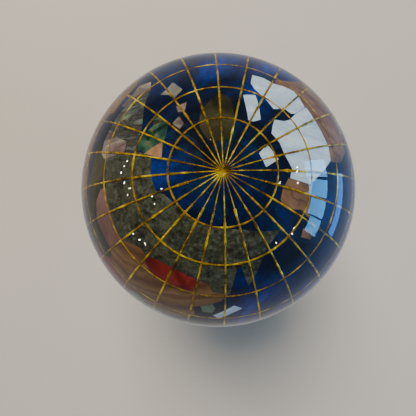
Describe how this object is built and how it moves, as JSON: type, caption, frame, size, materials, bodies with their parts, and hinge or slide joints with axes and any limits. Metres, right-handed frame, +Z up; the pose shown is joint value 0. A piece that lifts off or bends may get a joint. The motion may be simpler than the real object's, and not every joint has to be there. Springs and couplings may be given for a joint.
{
  "type": "desktop globe on stand",
  "caption": "Gemstone globe with brass meridians under clear lacquer, turning on a brass stem in a weighted wooden plinth.",
  "frame": {"origin": "centre of the felt pad's underside, on the table", "axes": "+Z up along the globe's axis; +X is to the right and +Y away when the globe is seen from above with the zero meridian 137 degrees round from +X"},
  "size_m": [0.11, 0.11, 0.1618],
  "materials": {
    "green_felt": "matt wool felt",
    "rosewood": "polished dark rosewood",
    "brass": "polished brass",
    "bright_brass": "bright brass wire",
    "bronze": "oiled sintered bronze",
    "steel": "turned steel",
    "nylon": "natural nylon",
    "resin": "moulded core resin",
    "clear_lacquer": "thick clear gloss lacquer",
    "ocean_stone": "crushed lapis under lacquer",
    "green_serpentine": "speckled dark green stone",
    "red_jasper": "polished red jasper",
    "white_shell": "pale bluish mother of pearl",
    "tan_jasper": "veined tan brown jasper",
    "orange_jasper": "banded orange brown jasper",
    "olive_jasper": "dark olive stone",
    "pink_shell": "pinkish mother of pearl",
    "abalone": "green abalone shell",
    "pale_jade": "pale grey green jade",
    "rose_quartz": "clouded rose stone"
  },
  "bodies": {
    "stand": {"felt_pad": "green_felt", "plinth": "rosewood", "ballast_disc": "steel", "trim_ring": "brass", "stem": "brass", "clamp_washer": "steel", "clamp_nut": "steel", "dish": "brass", "upper_bush": "bronze", "lower_bush": "bronze", "thrust_washer": "nylon", "ballast_screw_1": "steel", "ballast_screw_2": "steel", "ballast_screw_3": "steel"},
    "globe": {"land_russia": "green_serpentine", "land_mongolia": "red_jasper", "land_canada_west": "white_shell", "land_canada_east": "white_shell", "land_victoria_island": "white_shell", "land_baffin_island": "white_shell", "land_alaska": "tan_jasper", "land_usa": "tan_jasper", "land_greenland": "olive_jasper", "land_british_isles": "white_shell", "land_scandinavia": "abalone", "land_balkans": "pink_shell", "land_central_europe": "abalone", "land_iberia": "pink_shell", "land_china": "orange_jasper", "land_kazakhstan": "rose_quartz", "land_korea": "pale_jade", "land_japan": "white_shell", "land_persia": "olive_jasper", "land_arabia": "orange_jasper", "land_india": "red_jasper", "land_indochina": "pale_jade", "land_borneo": "green_serpentine", "land_new_guinea": "tan_jasper", "land_australia": "red_jasper", "land_north_africa": "orange_jasper", "land_west_africa": "green_serpentine", "land_east_africa": "rose_quartz", "land_congo_basin": "pale_jade", "land_southern_africa": "tan_jasper", "land_mexico": "pale_jade", "land_colombia_venezuela": "rose_quartz", "land_brazil": "green_serpentine", "land_peru_bolivia": "red_jasper", "land_argentina_chile": "tan_jasper", "land_antarctica": "white_shell", "ocean_skin": "ocean_stone", "core_north": "resin", "core_south": "resin", "graticule": "bright_brass", "lacquer": "clear_lacquer", "pole_boss": "brass", "boss_nut": "brass", "spindle": "steel", "retaining_clip": "steel"}
  },
  "joints": [
    {"name": "globe_spin", "type": "hinge", "parent": "stand", "child": "globe", "pos_m": [0, 0, 0.05], "axis": [0, 0, 1], "continuous": true}
  ]
}
